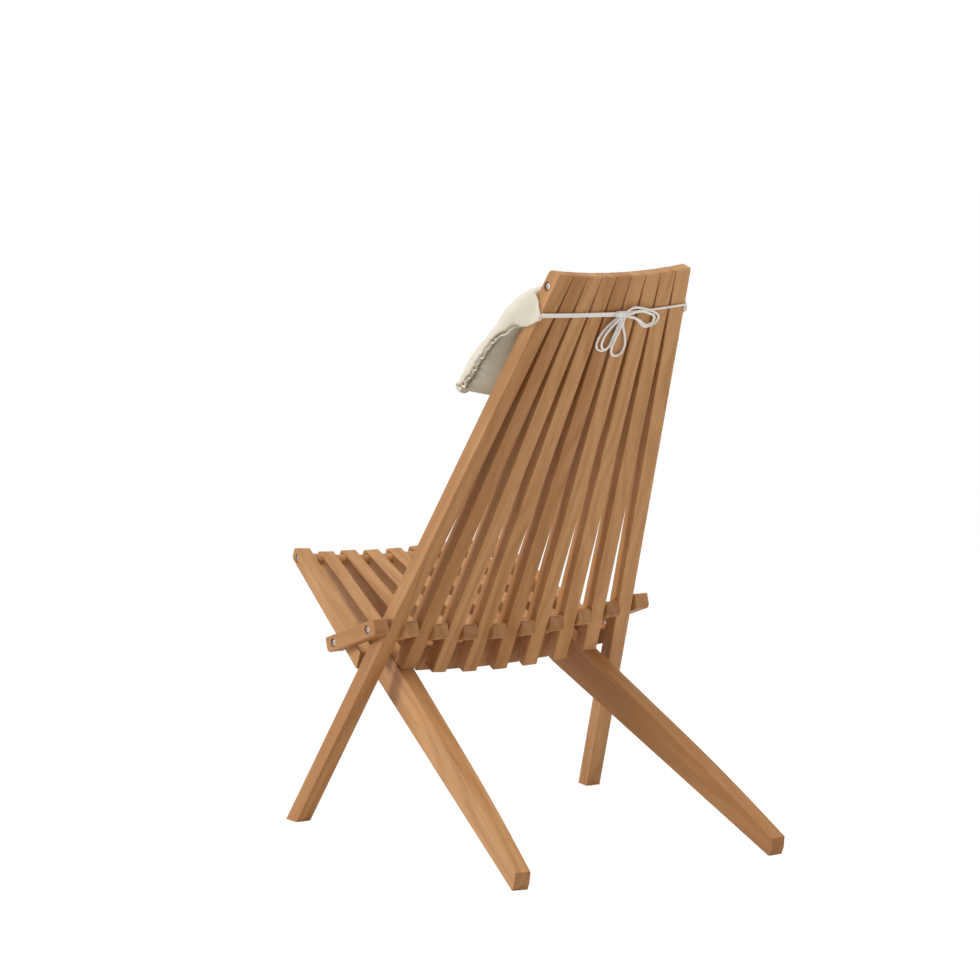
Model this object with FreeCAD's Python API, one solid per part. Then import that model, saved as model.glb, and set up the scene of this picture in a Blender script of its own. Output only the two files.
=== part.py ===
import FreeCAD
import Part
import math
import os

# Folding stick chair in teak with a tied head pillow. Millimetres, +Z up.
# The sitter faces -Y and +X is the sitter's left. The origin is on the floor, under the middle
# of the chair. The chair is a stack of sticks on four steel rods that run across it: the top rod
# and the lumbar rod hold the back sticks, the seat rod and the front rod hold the seat sticks,
# and link blocks join the lumbar rod to the seat rod.

# Driving dimensions
PITCH = 26.0              # one layer of the stack at the lumbar, stick and gap together
STICK_WIDTH = 25.2        # back and seat sticks, along the rods
LINK_WIDTH = 24.6         # link blocks, along the rods
BACK_FORE = 10.5          # back sticks in front of their rod line
BACK_AFT = 15.5           # and behind it
LINK_DEPTH = 24.0         # link blocks
EDGE_ROUND = 1.4          # eased long edges
TOP_SLANT = 8.0           # back sticks' upper ends rise this much to the rear
TOP_ROUND_FRONT = 10.0    # rounded corners there
TOP_ROUND_REAR = 3.0
NOSE_ROUND = 6.5          # and at the seat sticks' front ends
TAIL_ROUND = 3.0          # and at their rear ends
LINK_OUT = 1.6            # the outermost link blocks stand this much further out
LINK_ROUNDS = (7.5, 8.5, 3.6, 4.0)   # link corners: front low, rear low, rear high, front high
CUT_ROUND = 2.0           # corners of the slanted lower ends

LUMBAR_Y = -26.6          # the lumbar rod's place, front to rear
LUMBAR_Z = 325.0
TOP_ROD = (307.2, 538.7)       # from the lumbar rod, rearward and up
SEAT_ROD = (-106.0, -35.5)
FRONT_ROD = (-338.0, 60.6)

BACK_COUNT = 9            # back sticks, the outer two run down as front legs
SEAT_COUNT = 9            # seat sticks, the second from each side runs on as a rear leg
LINK_COUNT = 10
TOP_PITCH = 26.6          # between back sticks at the top rod
FRONT_PITCH = 42.7        # between seat sticks at the front rod

TOP_OVERHANG = 21.6       # back sticks above the top rod
BACK_TAIL = 69.0          # short back sticks below the lumbar rod, at the rear corner
FRONT_OVERHANG = 18.0     # seat sticks in front of the front rod
SEAT_TAIL = 51.0          # short seat sticks behind the seat rod
SEAT_TOP = 10.0           # seat sticks above their rod line
SEAT_LOW_FRONT = 11.0     # seat sticks below their rod line, at the front end
SEAT_LOW_REAR = 21.0      # at the rear end, outermost two
SEAT_DEEPER = 20.0        # and how much deeper there the middle one is
LINK_TAIL_FRONT = 22.5    # link blocks past the seat rod
LINK_TAIL_REAR = 24.5     # link blocks past the lumbar rod

ROD_RADIUS = 3.0
FIXED_FIT = 0.15          # a rod in the wood it is fixed in, radial
TURNING_FIT = 0.08        # a rod in wood that turns on it, radial
SLOT_FIT = 0.30           # the bowed lumbar rod in the inner link blocks, radial
NUT_RADIUS = 4.8
NUT_THICKNESS = 2.6
NUT_SOCKET = 2.4          # hexagon socket, half its width across the flats
NUT_SOCKET_DEPTH = 1.6
NUT_ROUND = 0.7
RECESS_RADIUS = 6.9
RECESS_DEPTH = 4.0
ROD_SHORT = 0.6           # a bowed rod's end stops this far before its nut
SPACER_RADIUS = 9.0
SPACER_GAP = 0.15
SPACER_ZONE = ((-320.0, -60.0), (-200.0, -60.0), (-200.0, 60.0), (-320.0, 60.0))

LUMBAR_BOW_HALF = 221.0   # the lumbar rod is bowed between these and straight outside them
LUMBAR_SAG = 21.2         # its middle hangs this far below its ends
TOP_SAG = 9.6             # the top rod's middle, down along the back
FRONT_SAG = 13.9          # the front rod's middle, straight down
BACK_HANG_LOW = 19.0      # the middle back stick against the outer ones, at the lumbar
BACK_HANG_HIGH = 8.0      # and at the top
SEAT_HANG = 12.5          # the middle seat stick's front end against the outer ones

# Rear leg, from the floor under the lumbar rod, rearward and up
LEG_TOP = 6.8             # above the rod line, in front of the seat rod
LEG_BEND = (170.0, 160.5)
LEG_BEND_MIDDLE = (300.0, 93.5)
LEG_END_TOP = (419.0, 26.5)
LEG_END_MIDDLE = (416.5, 9.0)
LEG_TOE = (411.0, -2.0)
LEG_HEEL = (408.5, -2.0)
LEG_LOW = (-101.0, 225.7)
LEG_CURVE_START = 110.0   # how firmly the bend holds its two end directions
LEG_CURVE_END = 130.0
LEG_SPLAY = 0.4           # degrees more than its place between the seat sticks asks
STOP_GAP = 1.1            # between a rear leg and the back stick that rests on it
STOP_SPARE = 30.0         # that stick is drawn this much longer, then cut to the leg's slope

FOLD_LINK = 10.0          # degrees that the link blocks turn over the whole fold
FOLD_SEAT = 106.0         # degrees that the seat turns on them
CHEEK_CLEARANCE = 0.8     # round a link block, where a splayed stick is relieved for it
SWEEP_CLEARANCE = 0.3     # round a link block's front corners as they turn
LAYER_GAP = 0.4

# Head pillow, each row: height along the back from the lumbar rod, the side seam's place across
# and in front of the rods, the widest place across and in front, then how far in front the
# middle of the front and of the rear are
PILLOW_ROWS = (
    (394.0, 162.5, 60.0, 165.5, 64.0, 72.0, 46.0),
    (408.0, 161.5, 58.5, 166.5, 73.0, 92.0, 24.0),
    (430.0, 158.0, 53.2, 164.5, 69.0, 100.0, 13.0),
    (465.0, 155.5, 45.8, 161.5, 60.0, 98.0, 11.6),
    (500.0, 151.5, 36.3, 157.5, 48.0, 90.0, 11.4),
    (530.0, 147.0, 21.0, 152.5, 40.0, 80.0, 11.4),
    (552.0, 141.0, 13.5, 149.0, 36.0, 68.0, 11.4),
    (575.0, 134.0, 12.6, 142.0, 28.0, 54.0, 11.4),
    (595.0, 128.0, 12.4, 135.0, 20.0, 38.0, 11.4),
    (606.0, 126.0, 12.2, 129.5, 15.0, 24.0, 11.4),
)
PILLOW_SHOULDER = (0.9, 0.55)   # across, of the widest, and to the front, of the way to the middle
PILLOW_CHEEK = (0.62, 0.92)
PILLOW_REAR = (0.8, 0.2)        # the same of the rear face, against the seam
PILLOW_FLAT = 11.2              # in front of the rods, where it lies flat on the sticks

# The pillow's top corners, drawn round the outermost sticks: height along the stick, front
TAB_OUTLINE = (
    (606.0, 20.0), (601.5, 1.0), (588.0, -15.9), (588.0, -18.9),
    (577.5, -18.9), (560.0, -6.0), (543.0, 14.0), (545.0, 22.0),
)
TAB_HOOK_OUTLINE = ((588.0, -15.9), (588.0, -18.9), (577.5, -18.9), (577.5, -15.9))
TAB_RAISE = 4.0           # the right corner sits this much higher
TAB_GAP = 0.4             # to the stick's side
TAB_THICKNESS = 3.2
TAB_HOOK = 4.0            # how far the tab's end turns in behind the stick

# Tie cord. Each route is a row of points: across, height along the back, behind the rods
CORD_RADIUS = 1.75
KNOT_FROM = (-22.0, 579.0, 22.1)
KNOT_LENGTH = 22.0
KNOT_RADIUS = 5.0
KNOT_ROUND = 3.5
CORD_ROUTES = {
    "tie_cord_left_upper": (
        (124.6, 582.9, 17.7), (110.0, 582.5, 17.8), (60.0, 580.4, 18.2), (20.0, 579.8, 19.0),
        (-5.0, 579.8, 20.4),
    ),
    "tie_cord_left_lower": (
        (125.0, 579.2, 17.7), (110.0, 578.8, 17.8), (60.0, 576.7, 18.2), (20.0, 576.1, 19.0),
        (-5.0, 576.0, 20.6),
    ),
    "tie_cord_right": (
        (-123.8, 586.8, 17.7), (-110.0, 585.6, 17.8), (-70.0, 581.8, 18.1), (-38.0, 580.4, 19.0),
        (-18.0, 579.6, 21.0),
    ),
    "bow_loop_left_outer": (
        (-8.5, 576.0, 22.2), (4.5, 560.0, 20.8), (13.5, 541.0, 19.8), (14.5, 519.0, 19.4),
        (0.0, 510.5, 19.4), (-13.0, 520.0, 19.4), (-13.5, 542.0, 19.8), (-12.0, 560.0, 20.6),
        (-11.5, 576.0, 21.8),
    ),
    "bow_loop_left_inner": (
        (-9.0, 576.5, 26.0), (2.5, 559.0, 25.8), (9.0, 541.0, 24.6), (8.0, 522.0, 23.6),
        (-1.5, 516.0, 23.6), (-8.0, 526.0, 23.8), (-7.5, 545.0, 24.6), (-12.0, 574.6, 26.0),
    ),
    "bow_loop_middle": (
        (-16.5, 576.0, 25.8), (-12.5, 556.0, 28.2), (-9.5, 538.0, 28.2), (-9.0, 520.0, 26.6),
        (-17.0, 505.0, 22.6), (-33.0, 501.5, 19.6), (-39.5, 517.0, 18.6), (-31.0, 540.0, 19.2),
        (-20.5, 557.0, 21.4), (-15.5, 575.0, 23.2),
    ),
    "bow_loop_right_outer": (
        (-17.0, 581.6, 23.6), (-25.0, 591.5, 23.4), (-43.0, 589.0, 22.8), (-64.0, 582.0, 22.4),
        (-81.0, 573.0, 21.2), (-79.0, 556.5, 20.0), (-62.0, 549.5, 18.8), (-49.0, 561.5, 18.6),
        (-37.0, 572.0, 19.0), (-18.0, 575.4, 20.6),
    ),
    "bow_loop_right_inner": (
        (-19.5, 580.0, 26.0), (-38.0, 588.0, 27.4), (-53.0, 582.5, 26.8), (-70.0, 575.5, 25.6),
        (-70.0, 561.5, 24.6), (-57.0, 557.0, 23.6), (-44.0, 570.5, 23.8), (-19.0, 577.0, 25.6),
    ),
}

V = FreeCAD.Vector
X_AXIS = V(1, 0, 0)
BIG = 1000.0


def place(y, z, x=0.0):
    """A point given from the floor under the lumbar rod, rearward and up."""
    return V(x, LUMBAR_Y + y, z)


LUMBAR = place(0.0, LUMBAR_Z)
TOP = place(TOP_ROD[0], LUMBAR_Z + TOP_ROD[1])
SEAT = place(SEAT_ROD[0], LUMBAR_Z + SEAT_ROD[1])
FRONT = place(FRONT_ROD[0], LUMBAR_Z + FRONT_ROD[1])

BACK_UP = (TOP - LUMBAR).normalize()
BACK_FRONT = V(0, -BACK_UP.z, BACK_UP.y)
OUTER_BACK = (BACK_COUNT - 1) / 2
OUTER_SEAT = (SEAT_COUNT - 1) / 2

LINK_FACE = (LINK_COUNT - 1) * PITCH + LINK_OUT + LINK_WIDTH / 2
TOP_FACE = OUTER_BACK * TOP_PITCH + STICK_WIDTH / 2
FRONT_FACE = OUTER_SEAT * FRONT_PITCH + STICK_WIDTH / 2

nodes = {}


def back_point(x, along, front):
    """A point in the back's plane: along the sticks from the lumbar rod, and out to the front."""
    return V(x, 0, 0) + LUMBAR + BACK_UP * along + BACK_FRONT * front


def plate(outline, x_middle, width):
    """A plate with that outline, which lies in a plane across X."""
    wire = Part.makePolygon(list(outline) + [outline[0]])
    return extrude(wire, x_middle, width)


def extrude(wire, x_middle, width):
    solid = Part.Face(wire).extrude(V(width, 0, 0))
    solid.translate(V(x_middle - width / 2, 0, 0))
    return solid


def round_ends(solid, corners, radius):
    """Rounds the plate's edges that run along X through the given corners."""
    edges = []
    for edge in solid.Edges:
        a = edge.Vertexes[0].Point
        b = edge.Vertexes[-1].Point
        if abs(a.y - b.y) > 1e-6 or abs(a.z - b.z) > 1e-6:
            continue
        if any(math.hypot(a.y - c.y, a.z - c.z) < 1e-4 for c in corners):
            edges.append(edge)
    return solid.makeFillet(radius, edges)


def ease_edges(solid):
    """Eases the rims of the plate's two side faces."""
    box = solid.BoundBox
    edges = []
    for edge in solid.Edges:
        span = edge.BoundBox
        if span.XLength > 1e-3:
            continue
        if min(abs(span.XMin - box.XMin), abs(span.XMax - box.XMax)) < 1e-3:
            edges.append(edge)
    return solid.makeFillet(EDGE_ROUND, edges)


def largest(shape):
    """The largest solid of what a cut leaves."""
    return sorted(shape.Solids, key=lambda solid: solid.Volume)[-1]


def above_floor(solid):
    floor = Part.makeBox(2 * BIG, 2 * BIG, BIG, V(-BIG, -BIG, -BIG))
    return solid.cut(floor)


def bar(start, end, radius):
    return Part.makeCylinder(radius, (end - start).Length, start, end - start)


# A bowed rod is an arc of a circle between its two ends

def bow_radius(half, sag):
    return (half * half + sag * sag) / (2 * sag)


def bow_hang(x, half, sag):
    """How far the bowed rod hangs at x below its ends."""
    radius = bow_radius(half, sag)
    return math.sqrt(radius * radius - x * x) - (radius - sag)


def bow_bar(x, middle, down, half, sag, radius, reach=60.0):
    """A straight bar along the bowed rod at x, for drilling and for what is round there."""
    turn = math.asin(x / bow_radius(half, sag))
    centre = middle + V(x, 0, 0) + down * bow_hang(x, half, sag)
    along = V(math.cos(turn), 0, 0) - down * math.sin(turn)
    return bar(centre - along * reach, centre + along * reach, radius)


def bowed_rod(middle, down, half, sag, radius):
    left = middle - V(half, 0, 0)
    right = middle + V(half, 0, 0)
    arc = Part.Arc(left, middle + down * sag, right).toShape()
    tangent = arc.tangentAt(arc.FirstParameter)
    ring = Part.Wire([Part.Edge(Part.Circle(left, tangent, radius))])
    return Part.Wire([arc]).makePipeShell([ring], True, False)


DOWN = V(0, 0, -1)
TOP_HALF = TOP_FACE - RECESS_DEPTH - ROD_SHORT
LINK_HALF = LINK_FACE - RECESS_DEPTH
FRONT_HALF = FRONT_FACE - RECESS_DEPTH - ROD_SHORT


def lumbar_bar(x, radius):
    return bow_bar(x, LUMBAR, DOWN, LUMBAR_BOW_HALF, LUMBAR_SAG, radius)


def top_bar(x, radius):
    return bow_bar(x, TOP, -BACK_UP, TOP_HALF, TOP_SAG, radius)


def front_bar(x, radius, reach=60.0):
    return bow_bar(x, FRONT, DOWN, FRONT_HALF, FRONT_SAG, radius, reach)


def straight_bar(middle, radius):
    return bar(middle - V(BIG, 0, 0), middle + V(BIG, 0, 0), radius)


def recess(middle, face, side):
    """The counterbore for a nut in an outer face."""
    start = middle + V(side * (face - RECESS_DEPTH), 0, 0)
    return bar(start, start + V(side * 4 * RECESS_DEPTH, 0, 0), RECESS_RADIUS)


def nut_pair(middle, face):
    """Two round socket nuts, one in the recess at each end of a rod."""
    pair = []
    for side in (-1, 1):
        foot = middle + V(side * (face - RECESS_DEPTH), 0, 0)
        out = V(side, 0, 0)
        head = bar(foot, foot + out * NUT_THICKNESS, NUT_RADIUS)
        rim = []
        for edge in head.Edges:
            span = edge.BoundBox
            if span.XLength < 1e-6 and abs(span.XMin - foot.x) > 1:
                rim.append(edge)
        head = head.makeFillet(NUT_ROUND, rim)
        corners = []
        for i in range(7):
            turn = math.radians(60 * i)
            reach = NUT_SOCKET / math.cos(math.radians(30))
            y = reach * math.cos(turn)
            z = reach * math.sin(turn)
            corners.append(foot + out * NUT_THICKNESS + V(0, y, z))
        socket = Part.Face(Part.makePolygon(corners)).extrude(out * -NUT_SOCKET_DEPTH)
        pair.append(head.cut(socket))
    return Part.makeCompound(pair)


def make_rods():
    nodes["top_rod"] = bowed_rod(TOP, -BACK_UP, TOP_HALF, TOP_SAG, ROD_RADIUS)
    pieces = []
    for side in (-1, 1):
        bend = LUMBAR + V(side * LUMBAR_BOW_HALF, 0, 0)
        end = LUMBAR + V(side * LINK_HALF, 0, 0)
        pieces.append(bar(bend, end, ROD_RADIUS))
        pieces.append(Part.makeSphere(ROD_RADIUS, bend))
    arc = bowed_rod(LUMBAR, DOWN, LUMBAR_BOW_HALF, LUMBAR_SAG, ROD_RADIUS)
    nodes["lumbar_rod"] = arc.fuse(pieces).removeSplitter()
    across = V(LINK_HALF, 0, 0)
    nodes["seat_rod"] = bar(SEAT - across, SEAT + across, ROD_RADIUS)
    nodes["front_rod"] = bowed_rod(FRONT, DOWN, FRONT_HALF, FRONT_SAG, ROD_RADIUS)
    nodes["top_rod_nuts"] = nut_pair(TOP, TOP_FACE)
    nodes["lumbar_rod_nuts"] = nut_pair(LUMBAR, LINK_FACE)
    nodes["seat_rod_nuts"] = nut_pair(SEAT, LINK_FACE)
    nodes["front_rod_nuts"] = nut_pair(FRONT, FRONT_FACE)


# Link blocks, counted from the sitter's left

def link_x(index):
    x = ((LINK_COUNT - 1) / 2 - index) * 2 * PITCH
    if index in (0, LINK_COUNT - 1):
        x += math.copysign(LINK_OUT, x)
    return x


def link_corners(x, grow):
    """The corners of a link block's side, which runs from the seat rod to the lumbar rod at x."""
    hang = 0.0
    if abs(x) < LUMBAR_BOW_HALF:
        hang = bow_hang(x, LUMBAR_BOW_HALF, LUMBAR_SAG)
    rear = LUMBAR + DOWN * hang
    along = (rear - SEAT).normalize()
    across = V(0, -along.z, along.y) * (LINK_DEPTH / 2 + grow)
    low = SEAT - along * (LINK_TAIL_FRONT + grow)
    high = rear + along * (LINK_TAIL_REAR + grow)
    return [low - across, high - across, high + across, low + across]


def link_plate(x, grow, width):
    corners = link_corners(x, grow)
    block = plate(corners, x, width)
    for corner, radius in zip(corners, LINK_ROUNDS):
        block = round_ends(block, [corner], radius)
    return block


def link_room(index):
    """The room that a link block takes beside a splayed stick."""
    return link_plate(link_x(index), CHEEK_CLEARANCE, LINK_WIDTH + 2 * LAYER_GAP)


def make_links():
    for index in range(LINK_COUNT):
        x = link_x(index)
        block = ease_edges(link_plate(x, 0.0, LINK_WIDTH))
        holes = [straight_bar(SEAT, ROD_RADIUS + FIXED_FIT)]
        if index in (0, LINK_COUNT - 1):
            side = 1 if x > 0 else -1
            holes.append(straight_bar(LUMBAR, ROD_RADIUS + TURNING_FIT))
            holes.append(recess(LUMBAR, LINK_FACE, side))
            holes.append(recess(SEAT, LINK_FACE, side))
            name = "link_left" if x > 0 else "link_right"
        else:
            for step in range(5):
                slot = lumbar_bar(x, ROD_RADIUS + SLOT_FIT)
                slot.rotate(LUMBAR, X_AXIS, -FOLD_LINK * step / 4)
                holes.append(slot)
            name = "link_%d" % index
        nodes[name] = block.cut(holes)


def cheek_rooms(x, pivot, angles):
    """The rooms of the link blocks on both sides of a stick, turned about a rod."""
    rooms = []
    for index in range(LINK_COUNT):
        if abs(link_x(index) - x) > 1.5 * PITCH:
            continue
        for angle in angles:
            room = link_room(index)
            room.rotate(pivot, X_AXIS, angle)
            rooms.append(room)
    return rooms


# Seat sticks and rear legs. Stick k is the k-th from the middle, and left is positive

class SeatStick:
    """The line of one seat stick, from the seat rod forward to the front rod."""

    def __init__(self, k):
        hang = SEAT_HANG * (1 - (k / OUTER_SEAT) ** 2)
        run = SEAT - (FRONT + DOWN * hang)
        across = k * (2 * PITCH - FRONT_PITCH)
        self.x = k * 2 * PITCH
        self.rear = run.normalize()
        self.up = V(0, -self.rear.z, self.rear.y)
        self.length = (SEAT - (FRONT + DOWN * hang)).Length
        self.front_end = -math.hypot(self.length, across) - FRONT_OVERHANG
        self.splay = -math.degrees(math.atan2(across, self.length))

    def point(self, along, up):
        """A point beside the stick: behind the seat rod and above the rod line."""
        return SEAT + self.rear * along + self.up * up

    def lean(self, solid, more=0.0):
        solid.rotate(SEAT + V(self.x, 0, 0), self.up, self.splay - more)
        return solid


def seat_slat(stick, k):
    low_rear = SEAT_LOW_REAR + SEAT_DEEPER * (1 - (k / OUTER_SEAT) ** 2)
    corners = [
        stick.point(stick.front_end, -SEAT_LOW_FRONT),
        stick.point(SEAT_TAIL, -low_rear),
        stick.point(SEAT_TAIL, SEAT_TOP),
        stick.point(stick.front_end, SEAT_TOP),
    ]
    slat = plate(corners, stick.x, STICK_WIDTH)
    slat = round_ends(slat, [corners[0], corners[3]], NOSE_ROUND)
    slat = round_ends(slat, [corners[1], corners[2]], TAIL_ROUND)
    return stick.lean(ease_edges(slat))


def rear_leg(stick, k):
    nose = [stick.point(stick.front_end, -SEAT_LOW_FRONT), stick.point(stick.front_end, LEG_TOP)]
    shoulder = stick.point(0.0, LEG_TOP)
    bend = place(*LEG_BEND)
    middle = place(*LEG_BEND_MIDDLE)
    end_top = place(*LEG_END_TOP)
    curve = Part.BSplineCurve()
    first = (bend - shoulder).normalize() * LEG_CURVE_START
    last = (end_top - middle).normalize() * LEG_CURVE_END
    curve.interpolate(Points=[bend, middle, end_top], InitialTangent=first, FinalTangent=last)
    points = [
        end_top,
        place(*LEG_END_MIDDLE),
        place(*LEG_TOE),
        place(*LEG_HEEL),
        place(*LEG_LOW),
        nose[0],
        nose[1],
        shoulder,
        bend,
    ]
    edges = [curve.toShape()]
    for a, b in zip(points, points[1:]):
        edges.append(Part.makeLine(a, b))
    solid = extrude(Part.Wire(edges), stick.x, STICK_WIDTH)
    solid = ease_edges(round_ends(solid, nose, NOSE_ROUND))
    return above_floor(stick.lean(solid, math.copysign(LEG_SPLAY, k)))


def make_seat():
    order = 0
    tightest = LINK_ROUNDS[3]
    sweep = math.hypot(LINK_TAIL_FRONT - tightest, LINK_DEPTH / 2 - tightest) + tightest
    for i in range(SEAT_COUNT):
        k = OUTER_SEAT - i
        stick = SeatStick(k)
        side = "left" if k > 0 else "right"
        if abs(k) == OUTER_SEAT - 1:
            name = "rear_leg_" + side
            solid = rear_leg(stick, k)
        else:
            solid = seat_slat(stick, k)
            order += 1 if abs(k) < OUTER_SEAT else 0
            name = "seat_slat_%d" % order if abs(k) < OUTER_SEAT else "seat_slat_" + side
        cuts = cheek_rooms(stick.x, SEAT, (0.0, FOLD_SEAT))
        for cheek in (k * 2 - 1, k * 2 + 1):
            start = SEAT + V(cheek * PITCH - LINK_WIDTH / 2 - LAYER_GAP, 0, 0)
            width = V(LINK_WIDTH + 2 * LAYER_GAP, 0, 0)
            cuts.append(bar(start, start + width, sweep + SWEEP_CLEARANCE))
        cuts.append(straight_bar(SEAT, ROD_RADIUS + TURNING_FIT))
        cuts.append(front_bar(k * FRONT_PITCH, ROD_RADIUS + FIXED_FIT))
        if abs(k) == OUTER_SEAT:
            cuts.append(recess(FRONT, FRONT_FACE, 1 if k > 0 else -1))
        nodes[name] = solid.cut(cuts)


def make_spacers():
    """Round spacers on the front rod, trimmed to the splayed seat sticks."""
    for i in range(SEAT_COUNT - 1):
        left = OUTER_SEAT - i
        right = left - 1
        x = (left + right) / 2 * FRONT_PITCH
        spacer = front_bar(x, SPACER_RADIUS, FRONT_PITCH / 2)
        cuts = [front_bar(x, ROD_RADIUS + FIXED_FIT)]
        for k in (left, right):
            stick = SeatStick(k)
            outline = [stick.point(a, b) for a, b in SPACER_ZONE]
            more = math.copysign(LEG_SPLAY, k) if abs(k) == OUTER_SEAT - 1 else 0.0
            cuts.append(stick.lean(plate(outline, stick.x, STICK_WIDTH + 2 * SPACER_GAP), more))
        nodes["front_spacer_%d" % (i + 1)] = largest(spacer.cut(cuts))


# Back sticks and front legs

LEG_BLOCK = 100.0         # depth of the block that cuts a back stick to a rear leg
LEG_LINE = SeatStick(OUTER_SEAT - 1)
LEG_SLOPE = (place(*LEG_BEND) - LEG_LINE.point(0.0, LEG_TOP)).normalize()


def make_back():
    order = 0
    for i in range(BACK_COUNT):
        k = OUTER_BACK - i
        hang = 1 - (k / OUTER_BACK) ** 2
        low = LUMBAR + DOWN * (BACK_HANG_LOW * hang)
        high = TOP - BACK_UP * (BACK_HANG_HIGH * hang)
        up = (high - low).normalize()
        front = V(0, -up.z, up.y)
        fore = front * BACK_FORE
        aft = front * BACK_AFT
        length = (high - low).Length
        across = k * (2 * PITCH - TOP_PITCH)
        top = low + up * (math.hypot(length, across) + TOP_OVERHANG)
        ends = [top + up * TOP_SLANT - aft, top + fore]
        if abs(k) == OUTER_BACK:
            feet = [low - up * BIG / 2 + fore, low - up * BIG / 2 - aft]
        else:
            tail = BACK_TAIL
            if abs(k) == OUTER_BACK - 1:
                tail = BACK_TAIL + STOP_SPARE
            rear = low - up * tail - aft
            depth = BACK_FORE + BACK_AFT
            feet = [rear - LEG_SLOPE * (depth / abs(LEG_SLOPE.dot(front))), rear]
        stick = plate(ends + feet, k * 2 * PITCH, STICK_WIDTH)
        stick = round_ends(stick, ends[:1], TOP_ROUND_REAR)
        stick = round_ends(stick, ends[1:], TOP_ROUND_FRONT)
        if abs(k) < OUTER_BACK - 1:
            stick = round_ends(stick, feet, CUT_ROUND)
        stick = ease_edges(stick)
        lean = math.degrees(math.atan2(across, length))
        stick.rotate(low + V(k * 2 * PITCH, 0, 0), front, lean)
        cuts = cheek_rooms(k * 2 * PITCH, LUMBAR, (0.0, FOLD_LINK / 2, FOLD_LINK))
        cuts.append(lumbar_bar(k * 2 * PITCH, ROD_RADIUS + FIXED_FIT))
        cuts.append(top_bar(k * TOP_PITCH, ROD_RADIUS + FIXED_FIT))
        side = "left" if k > 0 else "right"
        if abs(k) == OUTER_BACK:
            name = "front_leg_" + side
            cuts.append(recess(TOP, TOP_FACE, 1 if k > 0 else -1))
            stick = above_floor(stick)
        else:
            order += 1
            name = "back_slat_%d" % order
        if abs(k) == OUTER_BACK - 1:
            leg = SeatStick(k)
            rise = V(0, -LEG_SLOPE.z, LEG_SLOPE.y) * STOP_GAP
            start = leg.point(0.0, LEG_TOP) + rise
            end = place(*LEG_BEND) + rise
            outline = [start, end, end + DOWN * LEG_BLOCK, start + DOWN * LEG_BLOCK]
            under = plate(outline, leg.x, 3 * PITCH)
            cuts.append(leg.lean(under, math.copysign(LEG_SPLAY, k)))
        nodes[name] = stick.cut(cuts)


# Head pillow and its tie

def pillow_section(row):
    """The outline at one height: the rear face, then the fuller front face."""
    along, seam, seam_front, wide, wide_front, crown, rear = row
    side = [(seam, seam_front), (wide, wide_front)]
    for across, ahead in (PILLOW_SHOULDER, PILLOW_CHEEK):
        side.append((wide * across, wide_front + (crown - wide_front) * ahead))
    mirrored = [(-x, front) for x, front in reversed(side)]
    front_face = Part.BSplineCurve()
    front_face.interpolate([back_point(x, along, y) for x, y in side + [(0.0, crown)] + mirrored])
    part_way = rear + (seam_front - rear) * PILLOW_REAR[1]
    places = [(-seam, seam_front), (-seam * PILLOW_REAR[0], part_way), (0.0, rear)]
    places += [(seam * PILLOW_REAR[0], part_way), (seam, seam_front)]
    rear_face = Part.BSplineCurve()
    rear_face.interpolate([back_point(x, along, y) for x, y in places])
    return Part.Wire([front_face.toShape(), rear_face.toShape()])


def make_tab(side, pillow):
    """A top corner of the pillow case, held to the outer side of an outermost stick."""
    lift = BACK_UP * (TAB_RAISE if side < 0 else 0.0)
    corners = [back_point(0.0, along, front) + lift for along, front in TAB_OUTLINE]
    face = side * (OUTER_BACK * 2 * PITCH + STICK_WIDTH / 2 + TAB_GAP)
    tab = plate(corners, face + side * TAB_THICKNESS / 2, TAB_THICKNESS)
    corners = [back_point(0.0, along, front) + lift for along, front in TAB_HOOK_OUTLINE]
    hook = plate(corners, face - side * TAB_HOOK / 2, TAB_HOOK)
    tab = tab.fuse(hook).removeSplitter()
    across = side * OUTER_BACK * (2 * PITCH - TOP_PITCH)
    lean = math.degrees(math.atan2(across, (TOP - LUMBAR).Length))
    tab.rotate(LUMBAR + V(side * OUTER_BACK * 2 * PITCH, 0, 0), BACK_FRONT, lean)
    return largest(tab.cut(pillow))


def make_pillow():
    pillow = Part.makeLoft([pillow_section(row) for row in PILLOW_ROWS], True)
    corners = [(380.0, PILLOW_FLAT), (620.0, PILLOW_FLAT), (620.0, -40.0), (380.0, -40.0)]
    behind = plate([back_point(0.0, along, front) for along, front in corners], 0.0, BIG)
    pillow = largest(pillow.cut(behind))
    nodes["head_pillow"] = pillow
    nodes["pillow_tab_left"] = make_tab(1, pillow)
    nodes["pillow_tab_right"] = make_tab(-1, pillow)


def cord(route, radius):
    """A tube along straight runs with arcs between them. Also gives its length and least bend."""
    points = [back_point(x, along, -out) for x, along, out in route]
    edges = []
    least = BIG
    last = points[0]
    for before, corner, after in zip(points, points[1:], points[2:]):
        back = before - corner
        ahead = after - corner
        turn = math.pi - back.getAngle(ahead)
        reach = 0.45 * min(back.Length, ahead.Length)
        if turn < 0.01:
            continue
        least = min(least, reach / math.tan(turn / 2))
        start = corner + back.normalize() * reach
        end = corner + ahead.normalize() * reach
        bisector = (back + ahead).normalize()
        bend = reach / math.tan(turn / 2)
        middle = corner + bisector * (math.hypot(bend, reach) - bend)
        edges.append(Part.makeLine(last, start))
        edges.append(Part.Arc(start, middle, end).toShape())
        last = end
    edges.append(Part.makeLine(last, points[-1]))
    path = Part.Wire(edges)
    ring = Part.Wire([Part.Edge(Part.Circle(points[0], points[1] - points[0], radius))])
    tube = path.makePipeShell([ring], True, True, 2)
    return tube, path.Length, least


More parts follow.
